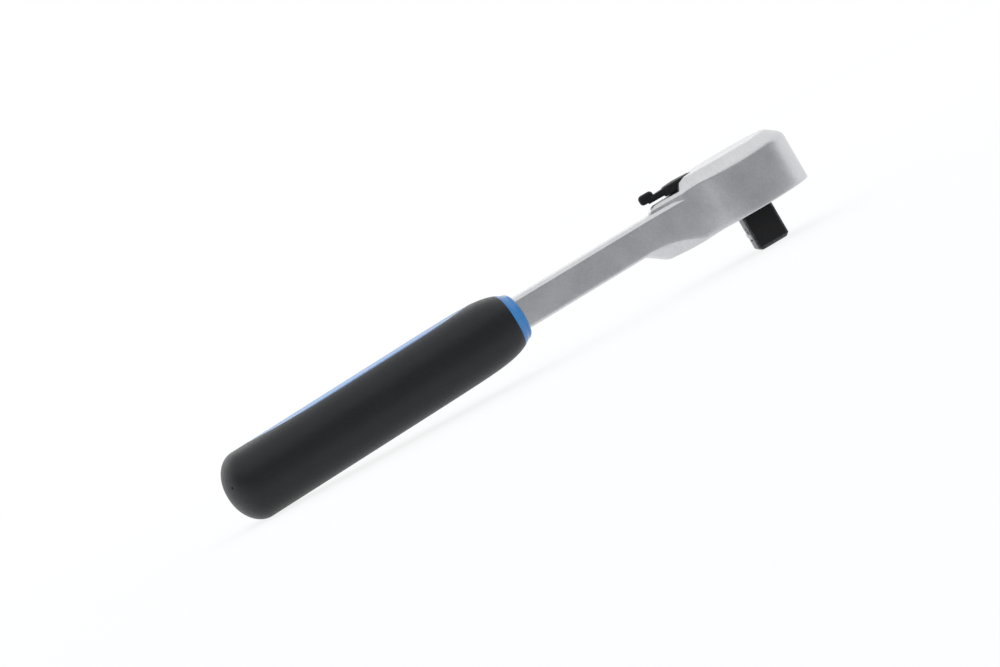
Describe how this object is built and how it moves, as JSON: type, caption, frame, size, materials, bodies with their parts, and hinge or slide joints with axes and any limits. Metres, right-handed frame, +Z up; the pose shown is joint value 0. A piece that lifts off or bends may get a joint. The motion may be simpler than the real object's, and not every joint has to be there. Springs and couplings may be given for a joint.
{
  "type": "reversible ratchet",
  "caption": "Hand ratchet with a forged pear-shaped head, square drive, reversing lever on top, straight neck and a two-component plastic grip.",
  "frame": {"origin": "middle of the square drive's end face", "axes": "+Z up along the drive's axis from the square's tip to the head's top, handle toward -X, nose of the head toward +X"},
  "size_m": [0.2474, 0.047, 0.0408],
  "materials": {
    "satin_chrome": "satin, fine-grained",
    "black_steel": "blacked, half matt",
    "cover_steel": "satin",
    "screw_steel": "blacked",
    "bright_steel": "ground",
    "spring_steel": "drawn wire",
    "ring_rubber": "matt",
    "blue_plastic": "satin moulded",
    "black_soft": "matt moulded"
  },
  "bodies": {
    "frame": {"ratchet_body": "satin_chrome", "bottom_cover": "cover_steel", "cover_screw_front_left": "screw_steel", "cover_screw_front_right": "screw_steel", "cover_screw_tail": "screw_steel", "pawl_pin": "bright_steel", "handle_core": "blue_plastic", "grip_shell": "black_soft"},
    "drive": {"drive_gear": "black_steel", "drag_ring": "ring_rubber"},
    "ball": {"detent_ball": "bright_steel", "detent_spring": "spring_steel"},
    "lever": {"reversing_lever": "black_steel", "lever_retaining_ring": "spring_steel"},
    "rocker": {"pawl": "bright_steel"},
    "plunger": {"pawl_plunger": "bright_steel", "plunger_spring": "spring_steel"}
  },
  "joints": [
    {"name": "drive_spin", "type": "hinge", "parent": "frame", "child": "drive", "pos_m": [0, 0, 0], "axis": [0, 0, 1], "continuous": true},
    {"name": "ball_press", "type": "slide", "parent": "drive", "child": "ball", "axis": [0.9848, -0.1736, 0], "range_m": [0, 0.0009], "stiffness_N_per_m": 1500, "springref_m": -0.001},
    {"name": "lever_flip", "type": "hinge", "parent": "frame", "child": "lever", "pos_m": [-0.0222, 0, 0.036], "axis": [0, 0, 1], "range_deg": [0, 40]},
    {"name": "pawl_rock", "type": "hinge", "parent": "frame", "child": "rocker", "pos_m": [-0.0156, 0, 0.023], "axis": [0, 0, 1], "range_deg": [-8.4, 0]},
    {"name": "plunger_press", "type": "slide", "parent": "lever", "child": "plunger", "axis": [-0.9397, 0.342, 0], "range_m": [0, 0.0005], "stiffness_N_per_m": 1000, "springref_m": -0.001}
  ],
  "couplings": [
    {"joint": "pawl_rock", "follows": "lever_flip", "ratio": -0.21}
  ]
}
